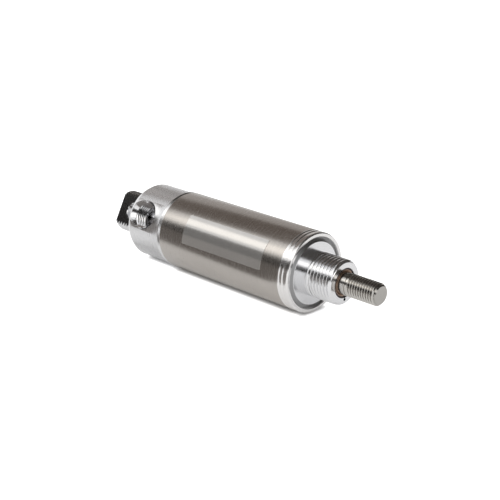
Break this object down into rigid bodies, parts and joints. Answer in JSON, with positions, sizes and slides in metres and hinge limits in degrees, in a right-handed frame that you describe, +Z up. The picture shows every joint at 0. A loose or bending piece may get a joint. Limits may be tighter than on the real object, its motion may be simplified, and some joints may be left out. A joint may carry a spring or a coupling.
{
  "type": "pneumatic cylinder",
  "caption": "Round single-acting pneumatic cylinder with a threaded nose, a spring-returned threaded rod, a side port in the rear head and a flatted, threaded pivot tang.",
  "frame": {"origin": "on the axis in the front head's flat face, the shoulder at the root of the nose thread", "axes": "+X along the axis, the way the rod moves out; +Z up with the cylinder lying down; the port faces 28 degrees above -Y"},
  "size_m": [0.1266, 0.0286, 0.0286],
  "materials": {
    "tube_steel": "brushed round the tube, polished where it is rolled",
    "machined_aluminium": "turned, bright",
    "rod_steel": "ground and polished",
    "sintered_bronze": "satin, oil filled",
    "black_ring": "black oxide",
    "silver_film": "bare silver film",
    "rubber": "moulded",
    "wear_plastic": "cut strip",
    "sleeve_plastic": "moulded",
    "spring_steel": "drawn wire",
    "zinc_steel": "zinc plated"
  },
  "bodies": {
    "housing": {"body_tube": "tube_steel", "front_head": "machined_aluminium", "rear_head": "machined_aluminium", "rear_head_seal": "rubber", "rear_cushion": "rubber", "rod_bushing": "sintered_bronze", "bushing_ring": "black_ring", "label_film": "silver_film", "return_spring": "spring_steel"},
    "seal_carriage": {"piston_seal": "rubber", "piston_wear_ring": "wear_plastic"},
    "rod": {"piston_rod": "rod_steel", "piston_front": "machined_aluminium", "piston_rear": "machined_aluminium", "piston_washer": "zinc_steel", "piston_nut": "zinc_steel", "stop_sleeve": "sleeve_plastic"}
  },
  "joints": [
    {"name": "rod_stroke", "type": "slide", "parent": "housing", "child": "seal_carriage", "axis": [1, 0, 0], "range_m": [0, 0.0127], "stiffness_N_per_m": 1880, "springref_m": -0.0144, "deforming": ["return_spring"]},
    {"name": "rod_turn", "type": "hinge", "parent": "seal_carriage", "child": "rod", "pos_m": [0, 0, 0], "axis": [1, 0, 0], "continuous": true}
  ]
}
